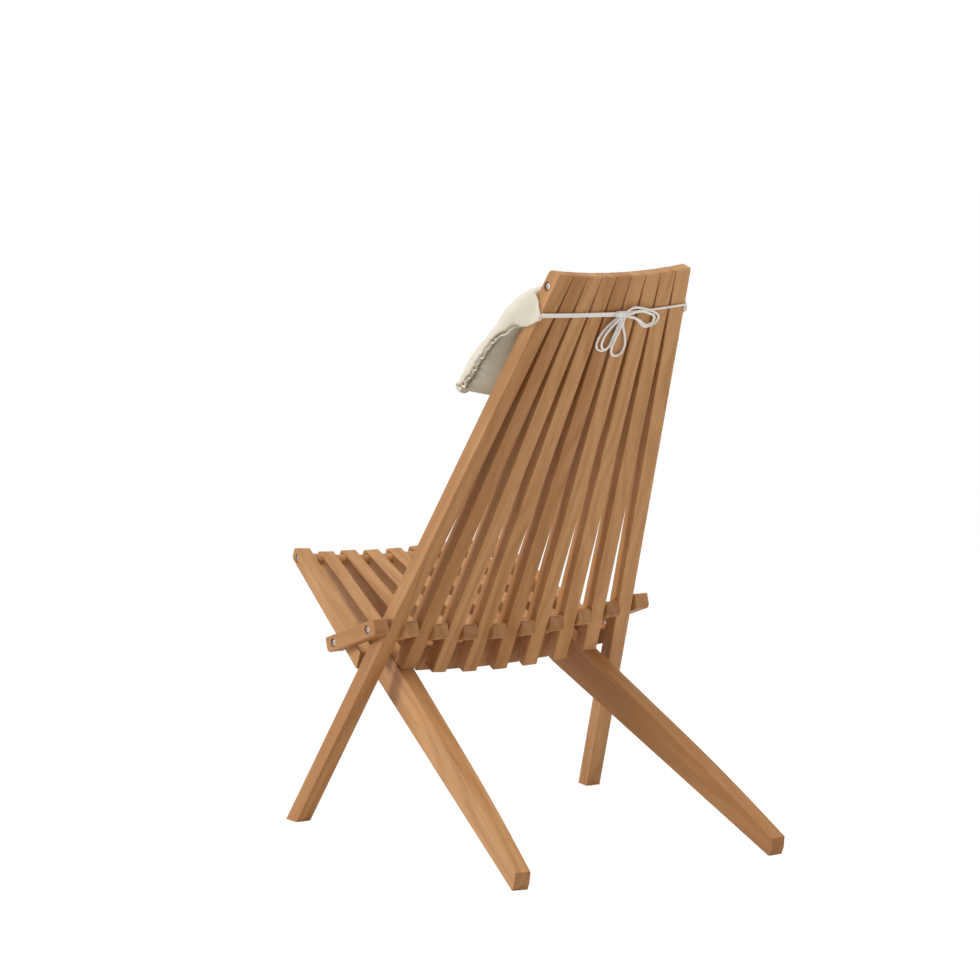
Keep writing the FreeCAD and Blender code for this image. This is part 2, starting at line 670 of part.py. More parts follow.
def make_cords():
    start = back_point(KNOT_FROM[0], KNOT_FROM[1], -KNOT_FROM[2])
    knot = bar(start, start + V(KNOT_LENGTH, 0, 0), KNOT_RADIUS)
    knot = knot.makeFillet(KNOT_ROUND, [edge for edge in knot.Edges if edge.BoundBox.XLength < 1e-6])
    nodes["tie_knot"] = knot
    tabs = [nodes["pillow_tab_left"], nodes["pillow_tab_right"]]
    for name, route in CORD_ROUTES.items():
        tube, length, least = cord(route, CORD_RADIUS)
        section = math.pi * CORD_RADIUS ** 2
        ratio = tube.Volume / (section * length)
        print("%s length %.1f least bend %.1f volume ratio %.4f" % (name, length, least, ratio))
        nodes[name] = largest(tube.cut([knot] + tabs))


make_rods()
make_links()
make_seat()
make_spacers()
make_back()
make_pillow()
make_cords()

os.makedirs("parts", exist_ok=True)
for name in sorted(nodes):
    shape = nodes[name]
    box = shape.BoundBox
    if not shape.isValid() or len(shape.Solids) != (2 if name.endswith("_nuts") else 1):
        print("CHECK", name, shape.isValid(), len(shape.Solids))
    print("%-22s x %.1f %.1f y %.1f %.1f z %.1f %.1f" % (
        name, box.XMin, box.XMax, box.YMin, box.YMax, box.ZMin, box.ZMax))
    shape.exportStep("parts/%s.step" % name)
boxes = [nodes[name].optimalBoundingBox(False, False) for name in sorted(nodes)]
print("across %.3f %.3f" % (min(box.XMin for box in boxes), max(box.XMax for box in boxes)))
print("deep %.3f %.3f" % (min(box.YMin for box in boxes), max(box.YMax for box in boxes)))
print("high %.3f %.3f" % (min(box.ZMin for box in boxes), max(box.ZMax for box in boxes)))
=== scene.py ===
import bpy
import bmesh
import math
import numpy as np
from mathutils import Matrix, Vector


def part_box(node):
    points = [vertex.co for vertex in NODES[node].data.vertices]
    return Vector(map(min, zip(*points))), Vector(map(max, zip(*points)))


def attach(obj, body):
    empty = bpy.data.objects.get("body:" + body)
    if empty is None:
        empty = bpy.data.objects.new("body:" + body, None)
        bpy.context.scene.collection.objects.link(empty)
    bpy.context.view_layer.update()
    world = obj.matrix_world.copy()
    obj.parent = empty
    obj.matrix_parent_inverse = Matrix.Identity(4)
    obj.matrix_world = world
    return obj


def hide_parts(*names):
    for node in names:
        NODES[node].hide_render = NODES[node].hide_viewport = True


# Folding teak chair with a tied head pillow. Metres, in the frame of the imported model:
# +Z up, the sitter faces -Y, and +X is the sitter's left.

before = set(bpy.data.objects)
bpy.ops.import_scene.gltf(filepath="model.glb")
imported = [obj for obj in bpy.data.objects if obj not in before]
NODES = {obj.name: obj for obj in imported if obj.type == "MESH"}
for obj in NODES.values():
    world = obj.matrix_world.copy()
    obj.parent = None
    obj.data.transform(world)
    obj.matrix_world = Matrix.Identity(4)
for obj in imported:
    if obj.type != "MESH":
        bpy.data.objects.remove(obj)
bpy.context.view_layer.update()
MM = 0.001

# Places on the back, from the frame. The lumbar rod bows, and its ends are its highest points

ROD_RADIUS = 3
low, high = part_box("lumbar_rod")
LUMBAR = Vector((0.0, (low.y + high.y) / 2, high.z - ROD_RADIUS * MM))
BACK_UP = Vector((0.0, 307.2, 538.7)).normalized()
BACK_FRONT = Vector((0.0, -BACK_UP.z, BACK_UP.y))
BACK_LEAN = math.atan2(BACK_UP.y, BACK_UP.z)


def back_point(x, along, front):
    """A point in millimetres: across, along the back from the lumbar rod, in front of it."""
    return LUMBAR + Vector((x * MM, 0, 0)) + BACK_UP * (along * MM) + BACK_FRONT * (front * MM)


# Objects

def new_object(name, data):
    piece = bpy.data.objects.new(name, data)
    bpy.context.collection.objects.link(piece)
    return piece


def mesh_object(name, mesh):
    """An object from a bmesh, which it frees."""
    data = bpy.data.meshes.new(name)
    mesh.to_mesh(data)
    mesh.free()
    return new_object(name, data)


# Camera

CAMERA_TARGET = LUMBAR + Vector((0.307, 0.458, 0.271))
CAMERA_AZIMUTH = 148.8
CAMERA_ELEVATION = 7.70
CAMERA_DISTANCE = 5.91
CAMERA_LENS = 154.2
CAMERA_SENSOR = 36.0
CAMERA_CLIP = 50.0


def make_camera():
    azimuth = math.radians(CAMERA_AZIMUTH)
    elevation = math.radians(CAMERA_ELEVATION)
    back = Vector((
        math.sin(azimuth) * math.cos(elevation),
        -math.cos(azimuth) * math.cos(elevation),
        math.sin(elevation),
    ))
    data = bpy.data.cameras.new("camera")
    data.lens = CAMERA_LENS
    data.sensor_width = CAMERA_SENSOR
    data.clip_end = CAMERA_CLIP
    camera = new_object("camera", data)
    camera.location = CAMERA_TARGET + back * CAMERA_DISTANCE
    camera.rotation_euler = back.to_track_quat("Z", "Y").to_euler()
    bpy.context.scene.camera = camera


make_camera()


# Node helpers

def new_material(name):
    material = bpy.data.materials.new(name)
    material.use_nodes = True
    return material, material.node_tree, material.node_tree.nodes["Principled BSDF"]


def set_socket(tree, socket, value):
    """Links the value where it is an output, and sets it where it is a number or a colour."""
    if isinstance(value, bpy.types.NodeSocket):
        tree.links.new(value, socket)
    else:
        socket.default_value = value


def feed(tree, node, **values):
    """Sets a node's inputs by name, with _ for a space."""
    for name, value in values.items():
        set_socket(tree, node.inputs[name.replace("_", " ")], value)


def add(tree, kind, **values):
    """Adds a node, with its properties and, by in_ and the name, its inputs."""
    node = tree.nodes.new(kind)
    for key, value in values.items():
        if key.startswith("in_"):
            feed(tree, node, **{key[3:]: value})
        else:
            setattr(node, key, value)
    return node


def math_node(tree, operation, *values):
    node = add(tree, "ShaderNodeMath", operation=operation)
    for socket, value in zip(node.inputs, values):
        set_socket(tree, socket, value)
    return node.outputs[0]


def map_range(tree, value, start, end, side="From"):
    """Maps start to end on to 0 to 1, or, with side To, 0 to 1 on to start to end."""
    ends = {"in_" + side + "_Min": start, "in_" + side + "_Max": end}
    return add(tree, "ShaderNodeMapRange", in_Value=value, **ends).outputs["Result"]


def colour_mix(tree, factor, a, b, blend_type="MIX"):
    return add(
        tree, "ShaderNodeMix", data_type="RGBA", blend_type=blend_type,
        in_Factor=factor, in_A=a, in_B=b,
    ).outputs["Result"]


def ramp(tree, factor, *stops):
    node = add(tree, "ShaderNodeValToRGB", in_Fac=factor)
    for element, (place, colour) in zip(node.color_ramp.elements, stops):
        element.position = place
        element.color = (*colour, 1.0)
    return node.outputs["Color"]


def noise(tree, vector, scale, detail, **values):
    return add(tree, "ShaderNodeTexNoise", in_Vector=vector, in_Scale=scale, in_Detail=detail,
               **values).outputs["Fac"]


def stretched_noise(tree, vector, scale, detail, seed=0.0, **values):
    """Noise of a scale of its own along each axis."""
    mapping = add(tree, "ShaderNodeMapping", in_Vector=vector, in_Scale=scale,
                  in_Location=(seed, seed, seed))
    return noise(tree, mapping.outputs["Vector"], 1.0, detail, **values)


def bump(tree, height, strength, distance):
    return add(tree, "ShaderNodeBump", in_Strength=strength, in_Distance=distance,
               in_Height=height).outputs["Normal"]


# Teak. Scales of the noises are across the stick, across it and along it

BROAD_SCALE = (22, 22, 2.2)
STREAK_SCALE = (170, 170, 5.0)
PORE_SCALE = (1100, 1100, 45.0)
WARP_SCALE = (9, 9, 3.0)
RING_PITCH = (260.0, 150.0)       # radians in a metre, on the two ways across
RING_WARP = 34.0
BROAD_SHARE = 0.9
STREAK_SHARE = 0.75
RING_SHARE = 0.26
TONE_RANGE = (0.59, 1.27)
PORE_STOPS = ((0.52, (1.0, 1.0, 1.0)), (0.70, (0.78, 0.78, 0.78)))
PORE_SHARE = 0.8
TEAK_ROUGHNESS = (0.46, 0.66)
TEAK_LIGHT = (0.60, 0.315, 0.128, 1.0)
TEAK_DARK = (0.42, 0.190, 0.062, 1.0)
TEAK_GLOSS = 0.35
TEAK_BUMP = 0.25
TEAK_RELIEF = 0.0006
GRAIN_STEP = (0.37, -0.23, 0.71)  # from one stick's place in the grain to the next one's
END_GRAIN = (0.80, 0.78, 0.76, 1.0)
END_FACING = (0.45, 0.85)         # how squarely a surface faces along the stick

GROUP_SOCKETS = (
    ("Vector", "INPUT", "NodeSocketVector"),
    ("Light", "INPUT", "NodeSocketColor"),
    ("Dark", "INPUT", "NodeSocketColor"),
    ("Tone", "INPUT", "NodeSocketFloat"),
    ("Color", "OUTPUT", "NodeSocketColor"),
    ("Roughness", "OUTPUT", "NodeSocketFloat"),
    ("Height", "OUTPUT", "NodeSocketFloat"),
)


def teak_group():
    """Grain along local Z: broad tone, streaks, fine pores, and a few darker growth lines."""
    tree = bpy.data.node_groups.new("teak_grain", "ShaderNodeTree")
    for name, way, kind in GROUP_SOCKETS:
        tree.interface.new_socket(name, in_out=way, socket_type=kind)
    start = tree.nodes.new("NodeGroupInput")
    end = tree.nodes.new("NodeGroupOutput")
    place = start.outputs["Vector"]

    broad = stretched_noise(tree, place, BROAD_SCALE, 2.0)
    streaks = stretched_noise(tree, place, STREAK_SCALE, 4.0, in_Roughness=0.6)
    pores = stretched_noise(tree, place, PORE_SCALE, 2.0, in_Roughness=0.5)
    warp = stretched_noise(tree, place, WARP_SCALE, 1.0)

    split = add(tree, "ShaderNodeSeparateXYZ", in_Vector=place)
    across = math_node(
        tree, "ADD",
        math_node(tree, "MULTIPLY", split.outputs["X"], RING_PITCH[0]),
        math_node(tree, "MULTIPLY", split.outputs["Y"], RING_PITCH[1]),
    )
    bent = math_node(tree, "ADD", across, math_node(tree, "MULTIPLY", warp, RING_WARP))
    rings = math_node(tree, "MULTIPLY_ADD", math_node(tree, "SINE", bent), 0.5, 0.5)
    rings = math_node(tree, "POWER", rings, 2.0)

    mixed = math_node(tree, "MULTIPLY", broad, BROAD_SHARE)
    for part, share in ((streaks, STREAK_SHARE), (rings, RING_SHARE)):
        mixed = math_node(tree, "ADD", mixed, math_node(tree, "MULTIPLY", part, share))
    mixed = math_node(tree, "ADD", mixed, start.outputs["Tone"])
    wood = colour_mix(tree, map_range(tree, mixed, *TONE_RANGE),
                      start.outputs["Light"], start.outputs["Dark"])
    dusted = colour_mix(tree, PORE_SHARE, wood, ramp(tree, pores, *PORE_STOPS), "MULTIPLY")
    height = math_node(tree, "SUBTRACT", math_node(tree, "MULTIPLY", streaks, 0.5), pores)
    feed(
        tree, end,
        Color=dusted,
        Roughness=map_range(tree, streaks, *TEAK_ROUGHNESS, side="To"),
        Height=height,
    )
    return tree


TEAK = teak_group()


def stick_turn(node):
    """The turn that brings local Z along a stick and local X across it."""
    points = np.array([v.co for v in NODES[node].data.vertices], float)
    points = points - points.mean(0)
    along = Vector(np.linalg.svd(points, full_matrices=False)[2][0])
    if along.z < 0:
        along = -along
    side = Vector((1, 0, 0))
    side = (side - along * side.dot(along)).normalized()
    third = along.cross(side)
    return Matrix((side, third, along)).transposed().to_euler()


def end_grain(tree, turn):
    """One where the surface is cut across the stick, nought along its sides."""
    facing = add(tree, "ShaderNodeNewGeometry")
    dot = add(tree, "ShaderNodeVectorMath", operation="DOT_PRODUCT")
    set_socket(tree, dot.inputs[0], facing.outputs["Normal"])
    set_socket(tree, dot.inputs[1], turn.to_matrix().col[2])
    return map_range(tree, math_node(tree, "ABSOLUTE", dot.outputs["Value"]), *END_FACING)


def teak_material(node, order, tone):
    """Teak whose grain runs along one stick."""
    material, tree, shader = new_material("teak_" + node)
    turn = stick_turn(node)
    mapping = add(
        tree, "ShaderNodeMapping", vector_type="TEXTURE",
        in_Vector=add(tree, "ShaderNodeTexCoord").outputs["Object"],
        in_Rotation=turn,
        in_Location=[step * order for step in GRAIN_STEP],
    )
    grain = add(
        tree, "ShaderNodeGroup", node_tree=TEAK,
        in_Vector=mapping.outputs["Vector"], in_Light=TEAK_LIGHT, in_Dark=TEAK_DARK, in_Tone=tone,
    ).outputs
    feed(
        tree, shader,
        Base_Color=colour_mix(tree, end_grain(tree, turn), grain["Color"], END_GRAIN, "MULTIPLY"),
        Roughness=grain["Roughness"],
        Normal=bump(tree, grain["Height"], TEAK_BUMP, TEAK_RELIEF),
        Specular_IOR_Level=TEAK_GLOSS,
    )
    return material


def dress(node, material):
    slots = NODES[node].data.materials
    if slots:
        for i in range(len(slots)):
            slots[i] = material
    else:
        slots.append(material)


WOOD = [name for name in sorted(NODES) if name.startswith(
    ("back_slat", "seat_slat", "front_leg", "rear_leg", "link_", "front_spacer"))]

# How much darker than the rest some sticks are. For rear_leg_right and link_left this is painted
# shade: the whole stick is darkened to stand in for the shade on the right rear leg's inner side
# and on the left link's rear end. The others' tones go up and down in turn
TONES_AND_PAINTED_SHADE = {
    "front_leg_left": 0.20, "back_slat_1": 0.32, "back_slat_2": -0.10, "back_slat_3": -0.04,
    "back_slat_4": 0.26, "back_slat_5": -0.02, "back_slat_6": -0.20, "back_slat_7": -0.16,
    "front_leg_right": -0.18, "rear_leg_right": 0.30, "rear_leg_left": -0.06, "link_left": 0.34,
}
TONE_SPREAD = 0.16
TONE_STEP = 2.4


def dress_wood():
    for order, node in enumerate(WOOD):
        tone = TONES_AND_PAINTED_SHADE.get(node, TONE_SPREAD * math.sin(order * TONE_STEP))
        dress(node, teak_material(node, order, tone))


dress_wood()


# Steel

STEEL_COLOUR = (0.62, 0.62, 0.63, 1.0)
STEEL_ROUGHNESS = (0.28, 0.44)
STEEL_NOISE = 900.0


def steel_material():
    material, tree, shader = new_material("satin_steel")
    place = add(tree, "ShaderNodeTexCoord").outputs["Object"]
    brushed = noise(tree, place, STEEL_NOISE, 3.0)
    feed(
        tree, shader,
        Roughness=map_range(tree, brushed, *STEEL_ROUGHNESS, side="To"),
        Base_Color=STEEL_COLOUR,
        Metallic=1.0,
    )
    return material


def dress_steel():
    steel = steel_material()
    for node in sorted(NODES):
        if node.endswith(("_rod", "_nuts")):
            dress(node, steel)


dress_steel()


# Linen

THREADS = 3300.0                  # radians in a metre, both ways
SLUBS_ACROSS = (60, 900, 1300)
SLUBS_DOWN = (1300, 900, 60)
SLUBS_SEED = 3.0
SLUB_RANGE = (0.72, 1.3)
# Painted shade: the colour multiplied into the linen along the seams and under the ruffles' edges
PAINTED_SHADE_COLOUR = (0.26, 0.21, 0.13, 1.0)
WEAVE_BUMP = 0.5
WEAVE_RELIEF = 0.00025


def linen_material(name, light, dark):
    """Plain woven cloth. Two crossed sets of threads, with slubs, in the back's own axes. Shade
    along the seams and under the ruffles is painted in from a point attribute.
    """
    material, tree, shader = new_material(name)
    turned = add(
        tree, "ShaderNodeMapping", vector_type="TEXTURE",
        in_Vector=add(tree, "ShaderNodeTexCoord").outputs["Object"],
        in_Rotation=(-BACK_LEAN, 0, 0),
    ).outputs["Vector"]
    split = add(tree, "ShaderNodeSeparateXYZ", in_Vector=turned)
    warp, weft = (
        math_node(tree, "SINE", math_node(tree, "MULTIPLY", split.outputs[axis], THREADS))
        for axis in ("X", "Z")
    )
    threads = math_node(tree, "MULTIPLY", warp, weft)
    uneven = math_node(
        tree, "ADD",
        stretched_noise(tree, turned, SLUBS_ACROSS, 2.0),
        stretched_noise(tree, turned, SLUBS_DOWN, 2.0, seed=SLUBS_SEED),
    )
    cloth = colour_mix(tree, map_range(tree, uneven, *SLUB_RANGE), light, dark)
    # Painted shade, read from a point attribute: darker along the seams and under the ruffles
    painted_shade = add(tree, "ShaderNodeAttribute", attribute_name="painted_shade").outputs["Fac"]
    height = math_node(tree, "ADD", math_node(tree, "MULTIPLY", threads, 0.5), uneven)
    feed(
        tree, shader,
        Base_Color=colour_mix(tree, painted_shade, cloth, PAINTED_SHADE_COLOUR, "MULTIPLY"),
        Normal=bump(tree, height, WEAVE_BUMP, WEAVE_RELIEF),
        Roughness=0.9,
        Sheen_Weight=0.25,
        Sheen_Roughness=0.5,
        Specular_IOR_Level=0.15,
    )
    return material


LINEN = linen_material("linen_cream", (0.80, 0.745, 0.62, 1), (0.68, 0.62, 0.49, 1))
LINEN_REAR = linen_material("linen_greige", (0.60, 0.545, 0.41, 1), (0.50, 0.445, 0.325, 1))


# Meshes as arrays

def copy_node(node, name):
    data = NODES[node].data.copy()
    data.name = name
    data.materials.clear()
    return new_object(name, data)


def apply_modifiers(piece):
    """Puts the piece's modifiers into its mesh."""
    bpy.context.view_layer.update()
    graph = bpy.context.evaluated_depsgraph_get()
    data = bpy.data.meshes.new_from_object(piece.evaluated_get(graph), depsgraph=graph)
    piece.modifiers.clear()
    piece.data = data


def smooth(piece):
    for face in piece.data.polygons:
        face.use_smooth = True


def to_array(piece, attribute="co"):
    values = np.empty(len(piece.data.vertices) * 3)
    piece.data.vertices.foreach_get(attribute, values)
    return values.reshape(-1, 3)


def from_array(piece, points):
    piece.data.vertices.foreach_set("co", points.ravel())
    piece.data.update()


def least_distance(points, others):
    return np.linalg.norm(points[:, None] - others[None], axis=2).min(1)


def bell(distance, width):
    """One at no distance, falling to nought over the width, which is in millimetres."""
    return np.exp(-(distance / (width * MM)) ** 2)


def remesh(piece, size):
    change = piece.modifiers.new("remesh", "REMESH")
    change.mode = "VOXEL"
    change.voxel_size = size
    apply_modifiers(piece)


# Pillow. The side seam runs from the top corner down to the pointed lower corner. Its rows are
# height along the back, across, in front of the rods. Lengths here are in millimetres

SEAM = (
    (548.0, 140.0, 11.6), (540.0, 143.0, 13.6), (527.0, 147.0, 19.0), (514.0, 149.5, 28.4),
    (500.0, 151.5, 36.3), (482.0, 153.5, 41.5), (465.0, 155.5, 45.8), (448.0, 156.8, 49.8),
    (430.0, 158.0, 53.2), (416.0, 160.5, 56.5), (406.0, 162.0, 59.0), (398.0, 163.5, 65.0),
    (393.0, 166.5, 74.0),
)
SEAM_STEPS = 260
# The painted shade along the seam fades in from its top
SEAM_FADE_IN = 6                  # full strength from a sixth of the way down

COARSE_MESH = 4.5
FINE_MESH = 1.8
SOFTEN_FACTOR = 0.5
SOFTEN_STEPS = 6
PRESSURE = 4.0
SWELL_LIMIT = 2.5
SWELL_FRAMES = 20
CLOTH_STIFFNESS = 15
CLOTH_BENDING = 0.4
SEAM_HOLD = 14

# Wave length, phase multiple and share of each wave of the gathers, and the first one's drift
GATHER_WAVES = ((15.5, 1.0, 0.55), (8.7, 2.1, 0.2), (33, 0.7, 0.25))
GATHER_DRIFT = (53, 1.3)
PUCKER_SIZE = (0.7, 2.0)          # at the top of the seam, and more towards its end
PUCKER_REACH = (7, 12)
PUCKER_SKEW = 0.35
PUCKER_PHASES = {1: 0.4, -1: 2.0}
GROOVE_DEPTH = 1.6
GROOVE_WIDTH = 4.5
PUCKER_NEAR = 0.16                # metres from the seam's middle
# Painted shade: a dark band along the seam, and a painted shadow on the cheek under the ruffle's
# wavy edge, the rim
SEAM_SHADE_WIDTH = 2.5
RIM_OUT = 2.6
RIM_FRONT = 4.6
RIM_WAVE = (0.6, 2.4)
RIM_SHADOW_WIDTH = 2.1
GROWTH = 1.5                      # how late puckers and folds grow along the seam

RUFFLE_ROWS = 5
RUFFLE_THICK = 1.7
RUFFLE_ROOT = 1.2                 # how far inside the case it starts
RUFFLE_REACH = (6.8, 1.4, 2.6)    # plain, uneven, and more at the seam's end
RUFFLE_BEND = (1.0, 6.0)
RUFFLE_CURL = 1.2
RUFFLE_LEAN = 1.6
RUFFLE_PHASE = 0.4
RUFFLE_OUT = (0.97, -0.05)        # across, to the front
# Painted shade at the ruffle's root, along the seam
RUFFLE_ROOT_SHADE = 1.6


def seam_line(side):
    """Points along one side's seam, smoothly joined, and how far along it each is."""
    rows = np.array([[across * side, along, front] for along, across, front in SEAM])
    places = np.linspace(0, len(rows) - 1, SEAM_STEPS)
    index = np.clip(places.astype(int), 0, len(rows) - 2)
    t = (places - index)[:, None]
    before = rows[np.clip(index - 1, 0, None)]
    start = rows[index]
    end = rows[index + 1]
    after = rows[np.clip(index + 2, None, len(rows) - 1)]
    line = 0.5 * (
        2 * start
        + (end - before) * t
        + (2 * before - 5 * start + 4 * end - after) * t ** 2
        + (3 * start - before - 3 * end + after) * t ** 3
    )
    points = np.array([back_point(*row) for row in line])
    runs = np.linalg.norm(np.diff(points, axis=0), axis=1)
    return points, np.concatenate([[0], np.cumsum(runs)])


def inflate(piece):
    """Cloth under pressure. No point moves further than the limit, and the seams stay."""
    before = to_array(piece)
    settings = piece.modifiers.new("cloth", "CLOTH").settings
    settings.use_pressure = True
    settings.uniform_pressure_force = PRESSURE
    settings.effector_weights.gravity = 0.0
    settings.tension_stiffness = CLOTH_STIFFNESS
    settings.compression_stiffness = CLOTH_STIFFNESS
    settings.bending_stiffness = CLOTH_BENDING
    for frame_number in range(1, SWELL_FRAMES + 1):
        bpy.context.scene.frame_set(frame_number)
    apply_modifiers(piece)
    bpy.context.scene.frame_set(1)
    move = to_array(piece) - before
    far = np.linalg.norm(move, axis=1, keepdims=True)
    move *= np.minimum(1.0, SWELL_LIMIT * MM / np.maximum(far, 1e-9))
    for side in (-1, 1):
        near = least_distance(before, seam_line(side)[0][::4])
        move *= (1 - bell(near, SEAM_HOLD))[:, None]
    from_array(piece, before + move)


def gathers(run, phase):
    """Uneven puckers along a gathered seam, between minus one and one."""
    drift = GATHER_DRIFT[1] * np.sin(run / (GATHER_DRIFT[0] * MM) * 2 * math.pi)
    total = 0
    for length, multiple, share in GATHER_WAVES:
        total = total + share * np.sin(
            run / (length * MM) * 2 * math.pi + multiple * phase + drift)
        drift = 0
    return total


def pucker(piece, side):
    """Puckers the cloth on both sides of a seam, and paints shade along it and a painted shadow
    under the ruffle's edge.
    """
    points, runs = seam_line(side)
    places = to_array(piece)
    normals = to_array(piece, "normal")
    to_front = np.array(BACK_FRONT)
    middle = points[SEAM_STEPS // 2]
    near = np.where(np.linalg.norm(places - middle, axis=1) < PUCKER_NEAR)[0]
    apart = np.linalg.norm(places[near][:, None] - points[None], axis=2)
    nearest = apart.argmin(1)
    far = apart.min(1)
    share = runs[nearest] / runs[-1]
    strength = np.minimum(1, SEAM_FADE_IN * share)

    wave = RIM_WAVE[0] + RIM_WAVE[1] * (runs / runs[-1]) ** GROWTH
    wave = gathers(runs, RUFFLE_PHASE + side) * wave * MM
    rim = points + np.array([side * RIM_OUT * MM, 0, 0]) + to_front * RIM_FRONT * MM
    rim += np.outer(wave, to_front)
    # Painted shade along the seam, and a painted shadow where the ruffle's edge stands over the
    # cheek
    base = bell(far, SEAM_SHADE_WIDTH) * strength
    under = bell(least_distance(places[near], rim), RIM_SHADOW_WIDTH) * strength
    painted_shade = piece.data.attributes.get("painted_shade")
    if painted_shade is None:
        painted_shade = piece.data.attributes.new("painted_shade", "FLOAT", "POINT")
    shade = np.zeros(len(places))
    painted_shade.data.foreach_get("value", shade)
    shade[near] = np.maximum(shade[near], np.maximum(base, under))
    painted_shade.data.foreach_set("value", shade)

    size = (PUCKER_SIZE[0] + PUCKER_SIZE[1] * share ** GROWTH) * MM
    fade = np.exp(-far / ((PUCKER_REACH[0] + PUCKER_REACH[1] * share) * MM))
    waves = gathers(runs[nearest] + PUCKER_SKEW * far, PUCKER_PHASES[side])
    shift = size * fade * waves - GROOVE_DEPTH * MM * bell(far, GROOVE_WIDTH)
    places[near] += normals[near] * shift[:, None]
    from_array(piece, places)


def ruffle_point(side, points, runs, i, row):
    """A point of the ruffle: i along the seam, and row from its root to its edge."""
    ahead = Vector(points[min(i + 1, SEAM_STEPS - 1)] - points[max(i - 1, 0)]).normalized()
    out = Vector((side * RUFFLE_OUT[0], 0, 0)) + BACK_FRONT * RUFFLE_OUT[1]
    out = (out - ahead * out.dot(ahead)).normalized()
    flat = ahead.cross(out)
    share = runs[i] / runs[-1]
    ends = min(1.0, 7 * share + 0.1, 9 * (1 - share) + 0.35)
    plain, uneven, more = RUFFLE_REACH
    uneven *= float(gathers(runs[i] * 0.7, 2.0 + RUFFLE_PHASE + side))
    reach = (plain + uneven + more * share ** 3) * ends
    bend = RUFFLE_BEND[0] + RUFFLE_BEND[1] * share ** GROWTH
    bend *= float(gathers(runs[i], RUFFLE_PHASE + side)) * row ** RUFFLE_CURL * ends
    lean = -RUFFLE_LEAN * row * row
    place = Vector(points[i]) + out * ((row * reach - RUFFLE_ROOT) * MM)
    return place + flat * (side * (bend + lean) * MM)


def make_ruffle(side, name):
    """The gathered edge of the seam, a narrow wavy band of doubled cloth."""
    points, runs = seam_line(side)
    mesh = bmesh.new()
    bmesh.ops.create_grid(mesh, x_segments=SEAM_STEPS - 1, y_segments=RUFFLE_ROWS, size=1.0)
    for corner in mesh.verts:
        i = round((corner.co.x + 1) / 2 * (SEAM_STEPS - 1))
        corner.co = ruffle_point(side, points, runs, i, (corner.co.y + 1) / 2)
    bmesh.ops.recalc_face_normals(mesh, faces=mesh.faces)
    ruffle = mesh_object(name, mesh)
    doubled = ruffle.modifiers.new("doubled", "SOLIDIFY")
    doubled.thickness = RUFFLE_THICK * MM
    doubled.offset = 0
    rounder = ruffle.modifiers.new("rounder", "SUBSURF")
    rounder.levels = 1
    rounder.render_levels = 1
    apply_modifiers(ruffle)
    smooth(ruffle)
    # Painted shade at the ruffle's root, where it leaves the seam
    painted_shade = ruffle.data.attributes.new("painted_shade", "FLOAT", "POINT")
    far = least_distance(to_array(ruffle), points)
    painted_shade.data.foreach_set("value", bell(far, RUFFLE_ROOT_SHADE))
    ruffle.data.materials.append(LINEN)
    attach(ruffle, "back")


def join(target, others):
    """Adds the others' meshes to the target's and removes them."""
    mesh = bmesh.new()
    for piece in [target] + others:
        mesh.from_mesh(piece.data)
    mesh.to_mesh(target.data)
    mesh.free()
    for piece in others:
        bpy.data.objects.remove(piece)


GUSSET_HEIGHT = (538, 603)
GUSSET_CORNER = (-15, 30)         # rearmost and foremost points of the corner that it takes in
GUSSET_SHOULDER = (11, 34)        # the same of the pillow
GUSSET_INNER = (224, 0.1638)      # across at the rod, less for each millimetre up the back


def make_gusset(side, pillow, corner):
    """Cloth drawn straight from the pillow's shoulder to its top corner, beside the stick."""
    mesh = bmesh.new()
    lowest, highest = GUSSET_HEIGHT
    for piece, (rearmost, foremost) in ((corner, GUSSET_CORNER), (pillow, GUSSET_SHOULDER)):
        for point in piece.data.vertices:
            from_rod = (point.co - LUMBAR) / MM
            along = from_rod.dot(BACK_UP)
            front = from_rod.dot(BACK_FRONT)
            beside = side * from_rod.x > GUSSET_INNER[0] - GUSSET_INNER[1] * along
            if beside and lowest < along < highest and rearmost < front < foremost:
                mesh.verts.new(point.co)
    hull = bmesh.ops.convex_hull(mesh, input=mesh.verts)
    bmesh.ops.delete(mesh, geom=list(set(hull["geom_interior"])), context="VERTS")
    return mesh_object("gusset", mesh)


SLIM_DEPTH = 8.0
SLIM_PLACE = (497, 50)            # height along the back, and how far it reaches from there
SLIM_FRONT = (32, 36)             # in front of the rods where it starts, and to its full depth


def slim(piece):
    """Flattens the front a little at half height, where the case hangs slack."""
    places = to_array(piece)
    from_rod = (places - np.array(LUMBAR)) / MM
    along = from_rod @ np.array(BACK_UP)
    front = from_rod @ np.array(BACK_FRONT)
    much = SLIM_DEPTH * np.exp(-((along - SLIM_PLACE[0]) / SLIM_PLACE[1]) ** 2)
    much = much * np.clip((front - SLIM_FRONT[0]) / SLIM_FRONT[1], 0, 1)
    from_array(piece, places - np.outer(much * MM, np.array(BACK_FRONT)))


EAR_SIZE = Vector((9.0, 15.0, 6.5))
EAR_PLACE = (159.5, 395.0, 71.0)


def make_ear(side):
    """A lower corner of the case, pushed out past the seam's end."""
    across, along, front = EAR_PLACE
    mesh = bmesh.new()
    bmesh.ops.create_icosphere(mesh, subdivisions=3, radius=1.0)
    bmesh.ops.scale(mesh, vec=EAR_SIZE * MM, verts=mesh.verts)
    bmesh.ops.rotate(mesh, matrix=Matrix.Rotation(-BACK_LEAN, 3, "X"), verts=mesh.verts)
    bmesh.ops.translate(mesh, vec=back_point(side * across, along, front), verts=mesh.verts)
    return mesh_object("ear", mesh)


PANEL_CUT = (25, 8)               # the slope of its edge: across, to the front
PANEL_SPARE = 3
PANEL_FACING = 0.25


